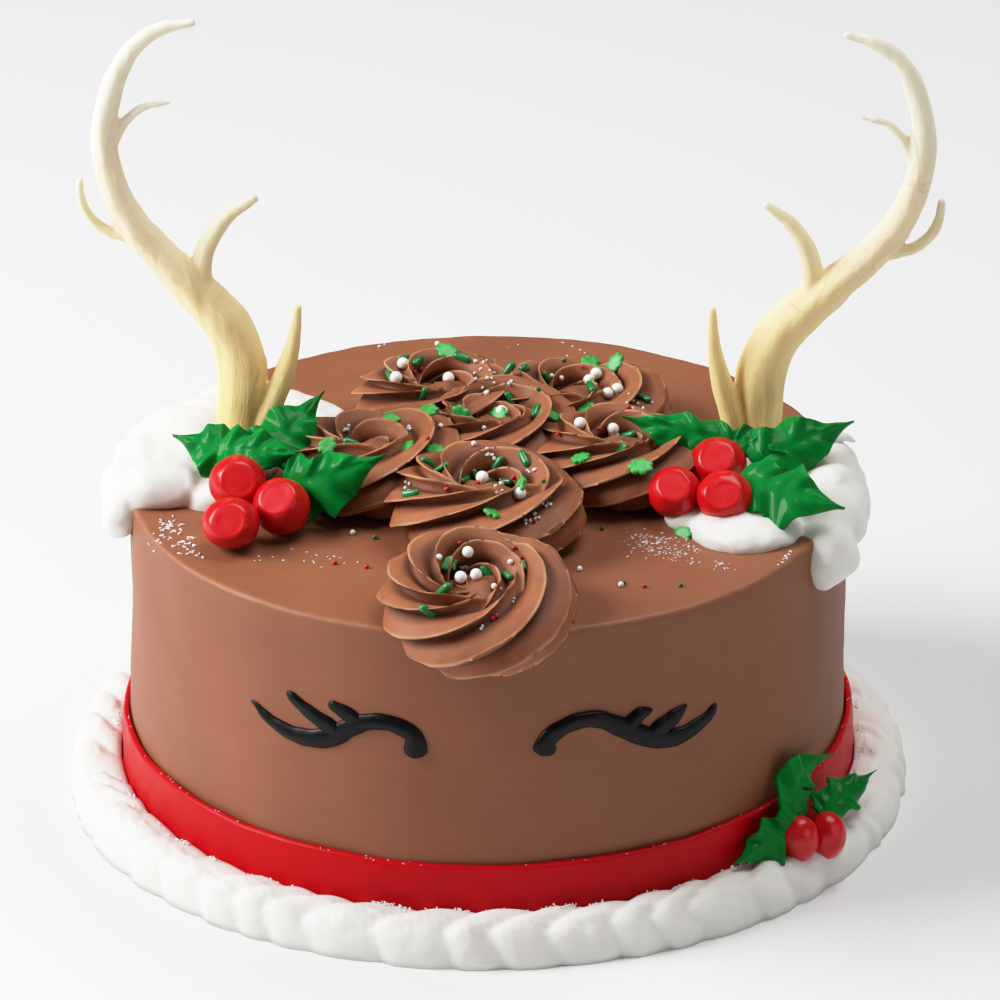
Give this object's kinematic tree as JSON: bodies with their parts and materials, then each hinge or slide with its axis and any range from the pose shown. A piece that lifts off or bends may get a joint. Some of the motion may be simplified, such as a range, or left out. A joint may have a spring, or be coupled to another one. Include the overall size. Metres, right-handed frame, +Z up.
{
  "type": "reindeer cake",
  "caption": "Round chocolate-iced cake with a sleeping reindeer face, piped rosettes, moulded antlers, holly and berries, a red sash and a white icing border.",
  "frame": {"origin": "centre of the cake's foot, on the surface it stands on", "axes": "+Z up, the face looks along -Y, +X to the right of someone who looks at the face"},
  "size_m": [0.2601, 0.2518, 0.2403],
  "materials": {
    "chocolate_coat": "smooth chocolate buttercream, satin",
    "chocolate_icing": "piped chocolate buttercream with coloured sprinkles",
    "red_fondant": "smooth rolled fondant, satin",
    "white_icing": "white buttercream, soft satin",
    "red_icing": "glossy piped icing",
    "green_icing": "glossy piped icing",
    "black_icing": "glossy piped icing",
    "antler_ivory": "moulded, tan at the foot and ivory at the tips, fine grain"
  },
  "bodies": {
    "root": {"cake": "chocolate_coat", "sash": "red_fondant", "border": "white_icing", "lash_left": "black_icing", "lash_right": "black_icing", "berry_low_left": "red_icing", "berry_low_right": "red_icing", "leaf_low_upper": "green_icing", "leaf_low_right": "green_icing", "leaf_low_left": "green_icing", "antler_left": "antler_ivory", "antler_right": "antler_ivory", "rosette_front": "chocolate_icing", "rosette_second": "chocolate_icing", "rosette_left": "chocolate_icing", "rosette_right": "chocolate_icing", "rosette_centre": "chocolate_icing", "rosette_back_left": "chocolate_icing", "rosette_back_right": "chocolate_icing", "mound_left": "white_icing", "mound_right": "white_icing", "berry_left_back": "red_icing", "berry_left_inner": "red_icing", "berry_left_front": "red_icing", "berry_right_back": "red_icing", "berry_right_inner": "red_icing", "berry_right_front": "red_icing", "leaf_left_outer": "green_icing", "leaf_left_inner": "green_icing", "leaf_left_front": "green_icing", "leaf_left_middle": "green_icing", "leaf_right_inner": "green_icing", "leaf_right_outer": "green_icing", "leaf_right_front": "green_icing", "leaf_right_middle": "green_icing"}
  },
  "joints": []
}
